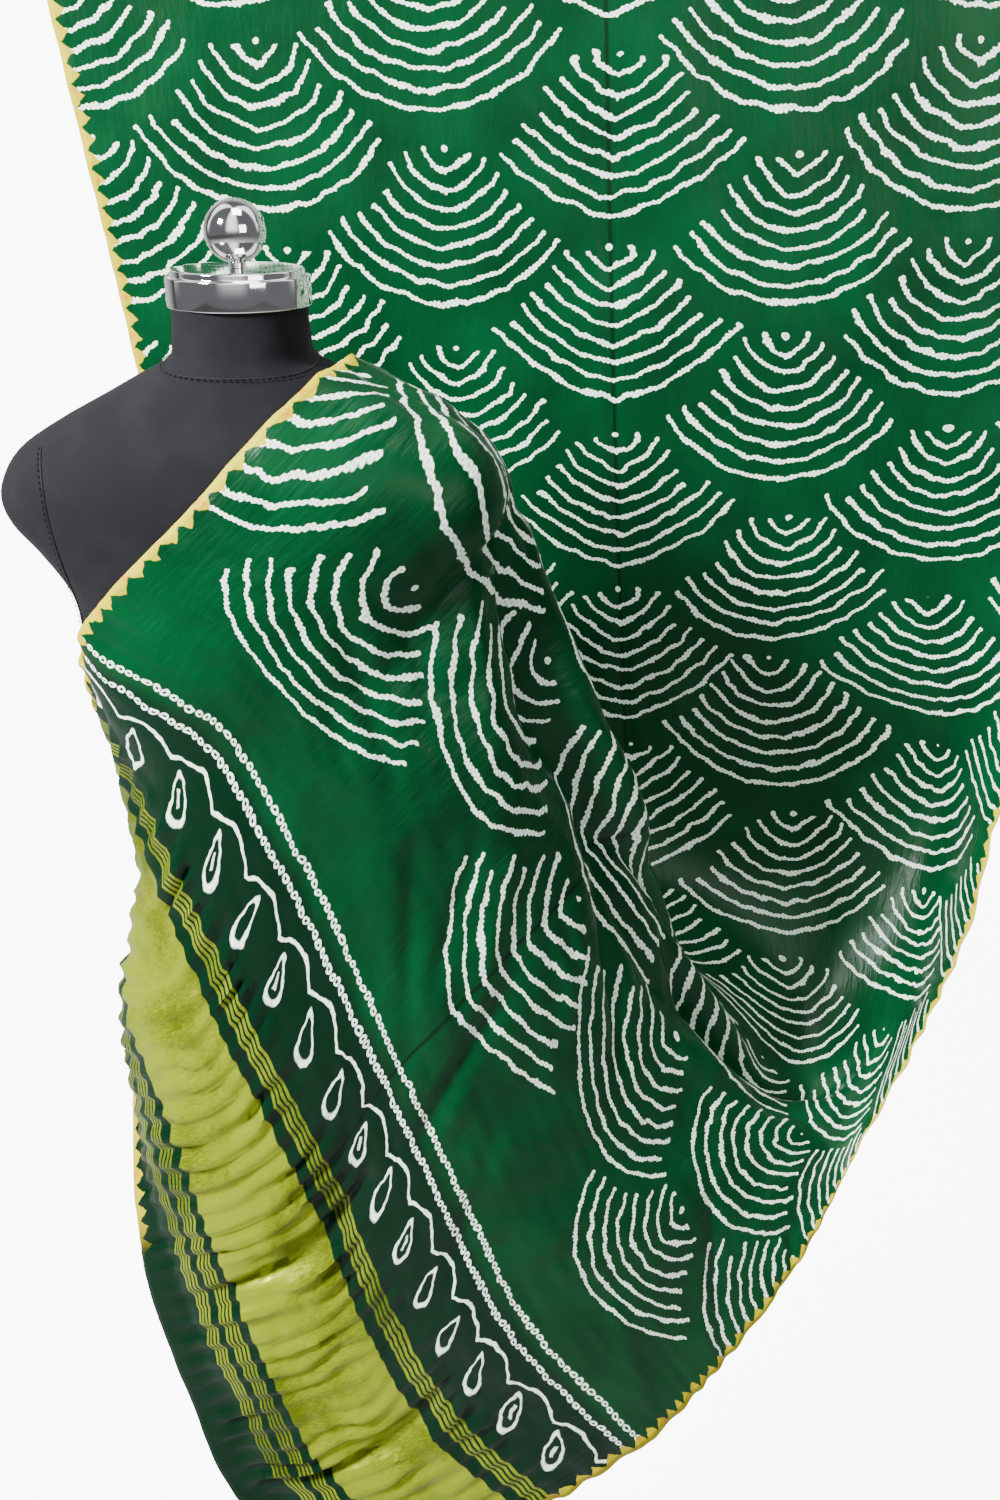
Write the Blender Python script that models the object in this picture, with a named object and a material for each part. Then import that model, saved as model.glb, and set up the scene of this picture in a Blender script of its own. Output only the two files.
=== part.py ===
"""A silk bandhani cloth that hangs from its top edge, dips behind a display bust,
comes over the bust's shoulder and falls across its front. Metres, +Z up.

The origin is the middle of the cloth's top edge. The front is towards -Y.
"""
import math
from collections import namedtuple

import bmesh
import bpy
import numpy as np
from mathutils import Vector
from mathutils.bvhtree import BVHTree

# Cloth: one woven length, its hem turned and pressed flat
CLOTH_WIDTH = 1.09
CLOTH_LENGTH = 2.15
CLOTH_THICKNESS = 0.002
CELLS_ACROSS = 30
CELLS_ALONG = 60
CLOTH_CLEARANCE = 0.0036
CELL_CLEARANCE = 0.0020
CLEARING_PASSES = 6

# Bust: a moulded torso on the line BUST_X, BUST_Y, cut flat at the neck and the base
BUST_X = -0.318
BUST_Y = -0.325
BUST_SIDES = 36
BUST_SQUARENESS = 0.86

# Metal cap pressed over the neck, with a ball screwed into its middle
CAP_RADIUS = 0.060
CAP_PLATE_RADIUS = 0.055
CAP_LOW = -0.2765
CAP_RIM_TOP = -0.2525
CAP_TOP = -0.2470
CAP_EDGE = 0.0015
BALL_RADIUS = 0.0255
BALL_STEM_RADIUS = 0.007
BALL_RISE = 0.0285
BALL_STEPS = 14
BALL_LAST_ANGLE = math.radians(175)
TURNED_SIDES = 36
SEAT_GAP = 0.0003

# The cloth's form: each section runs across the cloth at a distance down its length.
# Its places lie at the shares of the width in ACROSS, from the left edge to the right.
ACROSS = (0.0, 0.14, 0.28, 0.5, 0.6667, 0.8333, 1.0)
Section = namedtuple("Section", "down left left_in left_mid middle right_mid right_in right")
SECTIONS = (
    Section(0.000, (-0.545, 0.000, 0.000), (-0.392, 0.000, 0.000), (-0.240, 0.000, 0.000),
            (0.000, 0.000, 0.000), (0.182, 0.000, 0.000), (0.364, 0.000, 0.000), (0.545, 0.000, 0.000)),
    Section(0.400, (-0.487, 0.000, -0.398), (-0.345, 0.000, -0.400), (-0.202, 0.000, -0.400),
            (0.021, 0.000, -0.400), (0.203, 0.000, -0.400), (0.378, 0.000, -0.400), (0.550, -0.005, -0.400)),
    Section(0.700, (-0.450, -0.010, -0.690), (-0.310, -0.005, -0.695), (-0.175, 0.000, -0.700),
            (0.040, 0.000, -0.700), (0.213, 0.000, -0.700), (0.400, 0.000, -0.700), (0.530, -0.070, -0.700)),
    Section(0.850, (-0.415, -0.105, -0.785), (-0.285, -0.085, -0.820), (-0.155, -0.060, -0.842),
            (0.050, 0.000, -0.850), (0.235, 0.000, -0.850), (0.420, -0.005, -0.850), (0.460, -0.120, -0.845)),
    Section(1.000, (-0.370, -0.195, -0.690), (-0.240, -0.190, -0.745), (-0.130, -0.165, -0.850),
            (0.055, -0.050, -0.985), (0.245, -0.020, -1.000), (0.400, -0.060, -0.990), (0.415, -0.200, -0.960)),
    Section(1.150, (-0.325, -0.220, -0.545), (-0.170, -0.215, -0.600), (-0.090, -0.205, -0.700),
            (0.050, -0.155, -0.985), (0.255, -0.090, -1.120), (0.370, -0.140, -1.080), (0.355, -0.245, -1.085)),
    Section(1.300, (-0.275, -0.250, -0.410), (-0.127, -0.227, -0.468), (-0.050, -0.222, -0.590),
            (0.030, -0.215, -0.850), (0.205, -0.195, -1.150), (0.285, -0.235, -1.175), (0.298, -0.275, -1.205)),
    Section(1.437, (-0.225, -0.325, -0.318), (-0.113, -0.320, -0.392), (-0.060, -0.300, -0.552),
            (0.030, -0.280, -0.795), (0.110, -0.275, -1.050), (0.180, -0.295, -1.185), (0.245, -0.315, -1.303)),
    Section(1.620, (-0.347, -0.415, -0.419), (-0.255, -0.420, -0.505), (-0.165, -0.405, -0.640),
            (-0.080, -0.390, -0.855), (-0.010, -0.375, -1.090), (0.060, -0.375, -1.250), (0.150, -0.360, -1.430)),
    Section(1.792, (-0.462, -0.385, -0.545), (-0.348, -0.425, -0.610), (-0.281, -0.425, -0.746),
            (-0.198, -0.425, -0.972), (-0.136, -0.425, -1.140), (-0.070, -0.420, -1.310), (0.063, -0.400, -1.508)),
    Section(1.944, (-0.480, -0.315, -0.640), (-0.430, -0.385, -0.764), (-0.379, -0.420, -0.895),
            (-0.297, -0.425, -1.122), (-0.247, -0.425, -1.298), (-0.180, -0.425, -1.466), (-0.070, -0.420, -1.600)),
    Section(2.150, (-0.420, -0.210, -0.800), (-0.455, -0.250, -0.900), (-0.478, -0.305, -1.005),
            (-0.485, -0.380, -1.240), (-0.450, -0.405, -1.410), (-0.395, -0.425, -1.580), (-0.260, -0.415, -1.700)),
)

# Main folds, from (across, down) to (across, down) on the flat cloth.
# A positive height stands proud of the face that shows at the front.
Fold = namedtuple("Fold", "name across_from down_from across_to down_to height half_width")
FOLDS = (
    Fold("shoulder pleat", 0.10, 1.46, 0.47, 1.60, 0.010, 0.034),
    Fold("arm pleat", 0.27, 1.42, 0.60, 1.43, 0.015, 0.036),
    Fold("swag pleat", 0.62, 1.48, 0.90, 1.40, 0.010, 0.036),
    Fold("arm valley", 0.21, 1.49, 0.58, 1.50, -0.014, 0.034),
    Fold("swag valley", 0.54, 1.49, 0.76, 1.36, -0.014, 0.034),
    Fold("hip fold", 0.30, 1.70, 0.70, 1.78, 0.007, 0.040),
    Fold("border pinch", 0.60, 1.86, 0.63, 2.06, -0.008, 0.034),
    Fold("low border pinch", 0.88, 1.90, 0.93, 2.08, -0.008, 0.034),
    Fold("end curl", 0.75, 2.13, 1.00, 2.12, -0.010, 0.036),
)

# The bust: half width and half depth at each height
BustRing = namedtuple("BustRing", "height half_width half_depth forward")
BUST_RINGS = (
    BustRing(-0.2768, 0.0560, 0.0560, 0.000),
    BustRing(-0.3000, 0.0575, 0.0575, 0.000),
    BustRing(-0.3200, 0.0640, 0.0600, 0.000),
    BustRing(-0.3320, 0.0880, 0.0640, 0.000),
    BustRing(-0.3480, 0.1180, 0.0700, 0.000),
    BustRing(-0.3700, 0.1600, 0.0780, -0.002),
    BustRing(-0.3900, 0.1920, 0.0840, -0.004),
    BustRing(-0.4150, 0.2110, 0.0885, -0.006),
    BustRing(-0.4360, 0.2160, 0.0910, -0.006),
    BustRing(-0.4520, 0.2110, 0.0920, -0.006),
    BustRing(-0.4800, 0.1880, 0.0945, -0.006),
    BustRing(-0.5120, 0.1660, 0.0965, -0.006),
    BustRing(-0.5700, 0.1560, 0.0970, -0.006),
    BustRing(-0.6500, 0.1350, 0.0900, -0.004),
    BustRing(-0.7300, 0.1170, 0.0820, -0.004),
    BustRing(-0.8000, 0.1240, 0.0860, -0.004),
    BustRing(-0.8800, 0.1450, 0.0940, -0.004),
    BustRing(-0.9500, 0.1600, 0.1000, -0.004),
    BustRing(-0.9850, 0.1590, 0.0990, -0.004),
    BustRing(-1.0000, 0.1540, 0.0940, -0.004),
)
# Below the bust the cloth falls as if over this last ring, clear of the base's edge
FALL_RING = BustRing(-1.7000, 0.1400, 0.0800, -0.004)


def clear_scene():
    """Remove every object that the file opened with."""
    for thing in list(bpy.data.objects):
        bpy.data.objects.remove(thing, do_unlink=True)


def finish_material(name, colour, roughness, metallic):
    """A plain surface with the real one's colour, roughness and metal."""
    material = bpy.data.materials.new(name)
    material.use_nodes = True
    shader = material.node_tree.nodes["Principled BSDF"]
    shader.inputs["Base Color"].default_value = (*colour, 1.0)
    shader.inputs["Roughness"].default_value = roughness
    shader.inputs["Metallic"].default_value = metallic
    return material


def add_object(name, mesh, material):
    """Put a mesh in the scene as one named piece."""
    thing = bpy.data.objects.new(name, mesh)
    thing.data.materials.append(material)
    bpy.context.scene.collection.objects.link(thing)
    return thing


def tangents(knots, values):
    """The slope at each knot of a smooth curve through values."""
    steps = np.diff(knots)[:, None]
    rises = np.diff(values, axis=0) / steps
    inner = (steps[1:] * rises[:-1] + steps[:-1] * rises[1:]) / (steps[1:] + steps[:-1])
    return np.vstack([rises[:1], inner, rises[-1:]])


def smooth_rows(knots, values, places):
    """Read a smooth curve through values, one row for each of the places."""
    slopes = tangents(knots, values)
    low = np.clip(np.searchsorted(knots, places) - 1, 0, len(knots) - 2)
    step = (knots[low + 1] - knots[low])[:, None]
    t = (places - knots[low])[:, None] / step
    start = (1 + 2 * t) * (1 - t) ** 2 * values[low] + t * (1 - t) ** 2 * step * slopes[low]
    end = t * t * (3 - 2 * t) * values[low + 1] + t * t * (t - 1) * step * slopes[low + 1]
    return start + end


def cloth_points(across, down):
    """The middle surface of the cloth: a grid of places, rows down and columns across."""
    net = np.array([section[1:] for section in SECTIONS])
    downs = np.array([section.down for section in SECTIONS])
    acrosses = np.array(ACROSS) * CLOTH_WIDTH
    along = smooth_rows(downs, net.reshape(len(SECTIONS), -1), down)
    along = along.reshape(len(down), len(ACROSS), 3)
    return np.array([smooth_rows(acrosses, row, across) for row in along])


def front_normals(grid):
    """Unit normals of the grid, towards the face that shows at the front of the drape."""
    step_down = np.gradient(grid, axis=0)
    step_across = np.gradient(grid, axis=1)
    normals = np.cross(step_across, step_down)
    return -normals / np.linalg.norm(normals, axis=2, keepdims=True)


def fold_heights(across, down):
    """How far the folds lift the cloth at each place of the flat grid."""
    flat_across, flat_down = np.meshgrid(across, down)
    total = np.zeros_like(flat_across)
    for fold in FOLDS:
        run_across = fold.across_to - fold.across_from
        run_down = fold.down_to - fold.down_from
        run = math.hypot(run_across, run_down)
        off_across = flat_across - fold.across_from
        off_down = flat_down - fold.down_from
        along = np.clip((off_across * run_across + off_down * run_down) / run ** 2, 0.0, 1.0)
        aside = np.hypot(off_across - along * run_across, off_down - along * run_down)
        fade = 0.35 + 0.65 * np.sin(math.pi * along)
        total += fold.height * fade * np.exp(-((aside / fold.half_width) ** 2))
    return total


def bust_outline(ring, sides):
    """One level ring of the bust, flatter at the front and back than an ellipse."""
    points = []
    for index in range(sides):
        angle = 2 * math.pi * index / sides
        wide = math.copysign(abs(math.cos(angle)) ** BUST_SQUARENESS, math.cos(angle))
        deep = math.copysign(abs(math.sin(angle)) ** BUST_SQUARENESS, math.sin(angle))
        x = BUST_X + ring.half_width * wide
        y = BUST_Y + ring.forward + ring.half_depth * deep
        points.append((x, y, ring.height))
    return points


def loft(outlines):
    """A closed mesh through level outlines with the same number of points, low to high."""
    mesh = bmesh.new()
    loops = [[mesh.verts.new(point) for point in outline] for outline in outlines]
    for low, high in zip(loops, loops[1:]):
        for index in range(len(low)):
            following = (index + 1) % len(low)
            mesh.faces.new((low[index], low[following], high[following], high[index]))
    mesh.faces.new(list(reversed(loops[0])))
    mesh.faces.new(loops[-1])
    bmesh.ops.recalc_face_normals(mesh, faces=mesh.faces)
    return mesh


def write_mesh(name, mesh, sharp_angle=math.radians(35)):
    """Turn a bmesh into a smooth shaded mesh that keeps its hard edges."""
    data = bpy.data.meshes.new(name)
    mesh.to_mesh(data)
    mesh.free()
    data.shade_smooth()
    data.set_sharp_from_angle(angle=sharp_angle)
    return data


def make_bust():
    """The moulded torso: a lofted body, closed flat at the neck and at the base."""
    outlines = [bust_outline(ring, BUST_SIDES) for ring in reversed(BUST_RINGS)]
    material = finish_material("bust_cover", (0.038, 0.038, 0.045), 0.75, 0.0)
    return add_object("bust_form", write_mesh("bust_form", loft(outlines)), material)


def turned(profile, centre_x, centre_y, sides):
    """A turned solid: the profile is (radius, height) rows, low to high."""
    outlines = []
    for radius, height in profile:
        outline = []
        for index in range(sides):
            angle = 2 * math.pi * index / sides
            outline.append((centre_x + radius * math.cos(angle), centre_y + radius * math.sin(angle), height))
        outlines.append(outline)
    return loft(outlines)


def make_cap(metal):
    """The pressed cap: a straight rim, a rounded edge and a raised top plate."""
    profile = (
        (CAP_RADIUS - CAP_EDGE, CAP_LOW),
        (CAP_RADIUS, CAP_LOW + CAP_EDGE),
        (CAP_RADIUS, CAP_RIM_TOP - CAP_EDGE),
        (CAP_RADIUS - CAP_EDGE, CAP_RIM_TOP),
        (CAP_PLATE_RADIUS, CAP_RIM_TOP),
        (CAP_PLATE_RADIUS, CAP_TOP - CAP_EDGE),
        (CAP_PLATE_RADIUS - CAP_EDGE, CAP_TOP),
    )
    mesh = turned(profile, BUST_X, BUST_Y, TURNED_SIDES)
    return add_object("neck_cap", write_mesh("neck_cap", mesh), metal)


def make_ball(metal):
    """The ball on its short stem, standing on the cap's top plate."""
    foot = CAP_TOP + SEAT_GAP
    centre = foot + BALL_RISE
    first = math.asin(BALL_STEM_RADIUS / BALL_RADIUS)
    profile = [(BALL_STEM_RADIUS, foot)]
    for index in range(BALL_STEPS + 1):
        angle = first + (BALL_LAST_ANGLE - first) * index / BALL_STEPS
        profile.append((BALL_RADIUS * math.sin(angle), centre - BALL_RADIUS * math.cos(angle)))
    mesh = turned(profile, BUST_X, BUST_Y, TURNED_SIDES)
    return add_object("ball_finial", write_mesh("ball_finial", mesh), metal)


def push(tree, place, clearance):
    """How far a place has to move to stand clear of the solid in the tree, as a vector."""
    here = Vector(place)
    nearest, normal, _, distance = tree.find_nearest(here)
    inside = (here - nearest).dot(normal) < 0
    if not inside and distance >= clearance:
        return np.zeros(3)
    away = normal if inside or distance < SEAT_GAP else (here - nearest).normalized()
    return np.array(nearest + away * clearance - here)


def drape_form():
    """What the cloth lies on: the bust, drawn down past its base so that the fall stays smooth."""
    rings = (FALL_RING, *reversed(BUST_RINGS[:-1]))
    form = loft([bust_outline(ring, 2 * BUST_SIDES) for ring in rings])
    tree = BVHTree.FromBMesh(form)
    form.free()
    return tree


def lift_off(grid, tree):
    """Move the cloth off the form: first its corners, then the middles of its cells and edges."""
    for row in grid:
        for place in row:
            place += push(tree, place, CLOTH_CLEARANCE)
    rows, columns = grid.shape[:2]
    for _ in range(CLEARING_PASSES):
        moves = np.zeros_like(grid)
        for row in range(rows - 1):
            for column in range(columns - 1):
                cell = grid[row:row + 2, column:column + 2]
                middles = (
                    (cell[0, 0] + cell[1, 1]) / 2,
                    (cell[0, 1] + cell[1, 0]) / 2,
                    (cell[0, 0] + cell[0, 1]) / 2,
                    (cell[0, 0] + cell[1, 0]) / 2,
                )
                for middle in middles:
                    move = push(tree, middle, CELL_CLEARANCE)
                    if move.any():
                        corner_moves = moves[row:row + 2, column:column + 2]
                        further = np.linalg.norm(move) > np.linalg.norm(corner_moves, axis=2)
                        corner_moves[further] = move
        grid += moves


def make_cloth():
    """The whole length as one thin sheet, draped over the bust."""
    across = np.linspace(0.0, CLOTH_WIDTH, CELLS_ACROSS + 1)
    down = np.linspace(0.0, CLOTH_LENGTH, CELLS_ALONG + 1)
    grid = cloth_points(across, down)
    grid += front_normals(grid) * fold_heights(across, down)[:, :, None]
    lift_off(grid, drape_form())
    mesh = bmesh.new()
    corners = [[mesh.verts.new(place) for place in row] for row in grid]
    for upper, lower in zip(corners, corners[1:]):
        for index in range(CELLS_ACROSS):
            mesh.faces.new((upper[index], lower[index], lower[index + 1], upper[index + 1]))
    bmesh.ops.triangulate(mesh, faces=mesh.faces)
    data = write_mesh("bandhani_cloth", mesh, math.radians(80))
    material = finish_material("bandhani_silk", (0.0, 0.107, 0.033), 0.42, 0.0)
    cloth = add_object("bandhani_cloth", data, material)
    wall = cloth.modifiers.new("Cloth wall", "SOLIDIFY")
    wall.thickness = CLOTH_THICKNESS
    wall.offset = 0.0
    return cloth


clear_scene()
chrome = finish_material("polished_metal", (0.62, 0.62, 0.62), 0.12, 1.0)
make_bust()
make_cap(chrome)
make_ball(chrome)
make_cloth()
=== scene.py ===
"""The looks of a tie-dyed silk cloth that hangs behind a display bust and falls over its front.

Metres, +Z up. The origin is the middle of the cloth's top edge, and the front is towards -Y.
"""
import math
from collections import namedtuple

import bmesh
import bpy
import numpy as np
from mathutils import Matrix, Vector
from mathutils.bvhtree import BVHTree


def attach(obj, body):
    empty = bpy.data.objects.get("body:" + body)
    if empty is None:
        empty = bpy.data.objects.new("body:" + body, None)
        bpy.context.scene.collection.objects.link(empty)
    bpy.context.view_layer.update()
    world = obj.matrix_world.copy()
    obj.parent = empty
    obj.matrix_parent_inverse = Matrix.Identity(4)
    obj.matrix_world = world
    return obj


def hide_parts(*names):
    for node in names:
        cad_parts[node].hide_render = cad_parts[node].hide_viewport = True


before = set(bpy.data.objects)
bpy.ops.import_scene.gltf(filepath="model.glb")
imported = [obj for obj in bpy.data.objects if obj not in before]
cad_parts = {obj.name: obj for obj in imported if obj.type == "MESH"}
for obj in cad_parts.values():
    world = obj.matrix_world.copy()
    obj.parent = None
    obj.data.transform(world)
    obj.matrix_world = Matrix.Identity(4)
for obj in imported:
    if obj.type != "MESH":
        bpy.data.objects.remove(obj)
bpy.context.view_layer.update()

# The stand-in for a photographer's corner: a pale floor that curves up into a pale wall, two
# soft lamps from the front and one from above, and a camera above the shoulder, looking down.
FLOOR_DEPTH = -2.15
STAGE_REACH = 9.0
STAGE_WALL = 2.6
STAGE_TOP = 4.0
COVE_RADIUS = 0.8
COVE_STEPS = 12
STAGE_GLOW = 9.0
CAMERA_PLACE = (-0.101, -1.588, -0.121)
CAMERA_TILT = math.radians(66)
CAMERA_LENS = 35.0
CAMERA_SENSOR = 36.0
Lamp = namedtuple("Lamp", "name place target size power")
LAMPS = (
    Lamp("key_lamp", (-2.3, -1.9, 1.3), (-0.1, -0.2, -0.8), 0.7, 560.0),
    Lamp("fill_lamp", (1.9, -3.0, 0.4), (0.1, -0.1, -0.7), 1.6, 50.0),
    Lamp("top_lamp", (0.2, -0.9, 2.2), (0.0, -0.2, -0.6), 1.2, 50.0),
)
ROOM_FILL = 0.12
ROOM_PANELS = 3.0
ROOM_PANELS_LIGHT = 2.2

camera_data = bpy.data.cameras.new("view_camera")
camera_data.lens = CAMERA_LENS
camera_data.sensor_fit = "VERTICAL"
camera_data.sensor_height = CAMERA_SENSOR
camera_data.clip_start = 0.01
camera = bpy.data.objects.new("view_camera", camera_data)
camera.location = CAMERA_PLACE
camera.rotation_euler = (CAMERA_TILT, 0.0, 0.0)
bpy.context.scene.collection.objects.link(camera)
bpy.context.scene.camera = camera


def soft_lamp(name, place, target, size, power):
    """A square soft box that faces the target."""
    data = bpy.data.lights.new(name, "AREA")
    data.size = size
    data.energy = power
    lamp = bpy.data.objects.new(name, data)
    lamp.location = place
    lamp.rotation_euler = (Vector(target) - Vector(place)).to_track_quat("-Z", "Y").to_euler()
    bpy.context.scene.collection.objects.link(lamp)


for lamp_row in LAMPS:
    soft_lamp(*lamp_row)


def link_value(tree, value, socket):
    """Feed a socket from a number or from another node's output."""
    if isinstance(value, (int, float)):
        socket.default_value = value
    elif isinstance(value, tuple):
        socket.default_value = value
    else:
        tree.links.new(value, socket)


def calc(tree, operation, *values):
    """One step of arithmetic on numbers and outputs."""
    made = tree.nodes.new("ShaderNodeMath")
    made.operation = operation
    for socket, value in zip(made.inputs, values):
        link_value(tree, value, socket)
    return made.outputs[0]


def fade(tree, value, start, end):
    """A soft mask that rises from 0 at start to 1 at end."""
    made = tree.nodes.new("ShaderNodeMapRange")
    made.interpolation_type = "SMOOTHSTEP"
    link_value(tree, value, made.inputs["Value"])
    made.inputs["From Min"].default_value = start
    made.inputs["From Max"].default_value = end
    return made.outputs["Result"]


def blend_colour(tree, mask, under, over):
    """Lay one colour over another where the mask is 1."""
    made = tree.nodes.new("ShaderNodeMix")
    made.data_type = "RGBA"
    link_value(tree, mask, made.inputs[0])
    link_value(tree, under, made.inputs[6])
    link_value(tree, over, made.inputs[7])
    return made.outputs[2]


room = bpy.data.worlds.new("pale_room")
room.use_nodes = True
bpy.context.scene.world = room
room_tree = room.node_tree
room_panels_light = room_tree.nodes["Background"]
room_fill = room_tree.nodes.new("ShaderNodeBackground")
room_fill.inputs["Color"].default_value = (1.0, 1.0, 1.0, 1.0)
room_fill.inputs["Strength"].default_value = ROOM_FILL
room_split = room_tree.nodes.new("ShaderNodeSeparateXYZ")
room_place = room_tree.nodes.new("ShaderNodeTexCoord")
room_tree.links.new(room_place.outputs["Generated"], room_split.inputs[0])
room_round = calc(room_tree, "ARCTAN2", room_split.outputs["Y"], room_split.outputs["X"])
room_panels = calc(room_tree, "SINE", calc(room_tree, "MULTIPLY", room_round, ROOM_PANELS))
room_height = fade(room_tree, room_split.outputs["Z"], -0.15, 0.25)
room_mask = calc(room_tree, "MULTIPLY", fade(room_tree, room_panels, 0.05, 0.95), room_height)
room_colour = blend_colour(room_tree, room_mask, (0.07, 0.07, 0.075, 1.0), (1.0, 1.0, 1.0, 1.0))
room_tree.links.new(room_colour, room_panels_light.inputs["Color"])
room_panels_light.inputs["Strength"].default_value = ROOM_PANELS_LIGHT
room_rays = room_tree.nodes.new("ShaderNodeLightPath")
room_mix = room_tree.nodes.new("ShaderNodeMixShader")
room_tree.links.new(room_rays.outputs["Is Glossy Ray"], room_mix.inputs[0])
room_tree.links.new(room_fill.outputs[0], room_mix.inputs[1])
room_tree.links.new(room_panels_light.outputs[0], room_mix.inputs[2])
room_tree.links.new(room_mix.outputs[0], room_tree.nodes["World Output"].inputs["Surface"])

stage_mesh = bmesh.new()
cove = [(-STAGE_REACH, FLOOR_DEPTH), (STAGE_WALL - COVE_RADIUS, FLOOR_DEPTH)]
for index in range(1, COVE_STEPS + 1):
    turn = math.pi / 2 * index / COVE_STEPS
    cove.append((STAGE_WALL - COVE_RADIUS + COVE_RADIUS * math.sin(turn),
                 FLOOR_DEPTH + COVE_RADIUS - COVE_RADIUS * math.cos(turn)))
cove.append((STAGE_WALL, STAGE_TOP))
cove_rows = [[stage_mesh.verts.new((side * STAGE_REACH, y, z)) for side in (-1, 1)] for y, z in cove]
for low, high in zip(cove_rows, cove_rows[1:]):
    stage_mesh.faces.new((low[0], low[1], high[1], high[0]))
floor_data = bpy.data.meshes.new("pale_floor")
stage_mesh.to_mesh(floor_data)
stage_mesh.free()
floor_data.shade_smooth()
floor_finish = bpy.data.materials.new("pale_floor")
floor_finish.use_nodes = True
floor_shader = floor_finish.node_tree.nodes["Principled BSDF"]
floor_shader.inputs["Base Color"].default_value = (0.40, 0.40, 0.40, 1.0)
floor_shader.inputs["Roughness"].default_value = 0.9
floor_shader.inputs["Emission Color"].default_value = (1.0, 1.0, 1.0, 1.0)
floor_rays = floor_finish.node_tree.nodes.new("ShaderNodeLightPath")
floor_glow = calc(floor_finish.node_tree, "MULTIPLY", floor_rays.outputs["Is Camera Ray"], STAGE_GLOW)
floor_finish.node_tree.links.new(floor_glow, floor_shader.inputs["Emission Strength"])
floor_data.materials.append(floor_finish)
pale_floor = bpy.data.objects.new("pale_floor", floor_data)
bpy.context.scene.collection.objects.link(pale_floor)

# The bust: a moulded hollow torso under a stretched black knitted cover. It is the frame's own
# form with its rings smoothed, cut flat at the neck, with its edge rolled under at the base.
BUST_X = -0.318
BUST_Y = -0.325
BUST_SIDES = 112
BUST_LEVELS = 130
BUST_SQUARENESS = 0.86
BustRing = namedtuple("BustRing", "height half_width half_depth forward")
BUST_RINGS = (
    BustRing(-1.0000, 0.1540, 0.0940, -0.004),
    BustRing(-0.9850, 0.1590, 0.0990, -0.004),
    BustRing(-0.9500, 0.1600, 0.1000, -0.004),
    BustRing(-0.8800, 0.1450, 0.0940, -0.004),
    BustRing(-0.8000, 0.1240, 0.0860, -0.004),
    BustRing(-0.7300, 0.1170, 0.0820, -0.004),
    BustRing(-0.6500, 0.1350, 0.0900, -0.004),
    BustRing(-0.5700, 0.1560, 0.0970, -0.006),
    BustRing(-0.5120, 0.1660, 0.0965, -0.006),
    BustRing(-0.4800, 0.1880, 0.0945, -0.006),
    BustRing(-0.4520, 0.2110, 0.0920, -0.006),
    BustRing(-0.4360, 0.2160, 0.0910, -0.006),
    BustRing(-0.4150, 0.2110, 0.0885, -0.006),
    BustRing(-0.3900, 0.1920, 0.0840, -0.004),
    BustRing(-0.3700, 0.1600, 0.0780, -0.002),
    BustRing(-0.3480, 0.1180, 0.0700, 0.000),
    BustRing(-0.3320, 0.0880, 0.0640, 0.000),
    BustRing(-0.3200, 0.0640, 0.0600, 0.000),
    BustRing(-0.3000, 0.0575, 0.0575, 0.000),
    BustRing(-0.2768, 0.0560, 0.0560, 0.000),
)
BUST_BLACK = (0.0060, 0.0060, 0.0076, 1.0)
BUST_WORN = (0.0082, 0.0082, 0.0102, 1.0)


def tangents(knots, values):
    """The slope at each knot of a smooth curve through values."""
    steps = np.diff(knots)[:, None]
    rises = np.diff(values, axis=0) / steps
    inner = (steps[1:] * rises[:-1] + steps[:-1] * rises[1:]) / (steps[1:] + steps[:-1])
    return np.vstack([rises[:1], inner, rises[-1:]])


def smooth_rows(knots, values, places):
    """Read a smooth curve through values, one row for each of the places."""
    slopes = tangents(knots, values)
    low = np.clip(np.searchsorted(knots, places) - 1, 0, len(knots) - 2)
    step = (knots[low + 1] - knots[low])[:, None]
    t = (places - knots[low])[:, None] / step
    start = (1 + 2 * t) * (1 - t) ** 2 * values[low] + t * (1 - t) ** 2 * step * slopes[low]
    end = t * t * (3 - 2 * t) * values[low + 1] + t * t * (t - 1) * step * slopes[low + 1]
    return start + end


bust_heights = np.array([ring.height for ring in BUST_RINGS])
bust_sizes = np.array([ring[1:] for ring in BUST_RINGS])


def bust_point(height, angle, proud=0.0):
    """A place on the bust's skin at a height, at an angle round its axis."""
    half_width, half_depth, forward = smooth_rows(bust_heights, bust_sizes, np.array([height]))[0]
    wide = math.copysign(abs(math.cos(angle)) ** BUST_SQUARENESS, math.cos(angle))
    deep = math.copysign(abs(math.sin(angle)) ** BUST_SQUARENESS, math.sin(angle))
    return (BUST_X + (half_width + proud) * wide, BUST_Y + forward + (half_depth + proud) * deep, height)


def loft(outlines):
    """A closed mesh through level outlines with the same number of points, low to high."""
    mesh = bmesh.new()
    loops = [[mesh.verts.new(point) for point in outline] for outline in outlines]
    for low, high in zip(loops, loops[1:]):
        for index in range(len(low)):
            following = (index + 1) % len(low)
            mesh.faces.new((low[index], low[following], high[following], high[index]))
    mesh.faces.new(list(reversed(loops[0])))
    mesh.faces.new(loops[-1])
    bmesh.ops.recalc_face_normals(mesh, faces=mesh.faces)
    return mesh


def place_piece(name, mesh, finish, sharp_angle):
    """Write a bmesh as one smooth shaded piece that keeps its hard edges."""
    data = bpy.data.meshes.new(name)
    mesh.to_mesh(data)
    mesh.free()
    data.shade_smooth()
    data.set_sharp_from_angle(angle=sharp_angle)
    data.materials.append(finish)
    piece = bpy.data.objects.new(name, data)
    bpy.context.scene.collection.objects.link(piece)
    return piece


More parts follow.
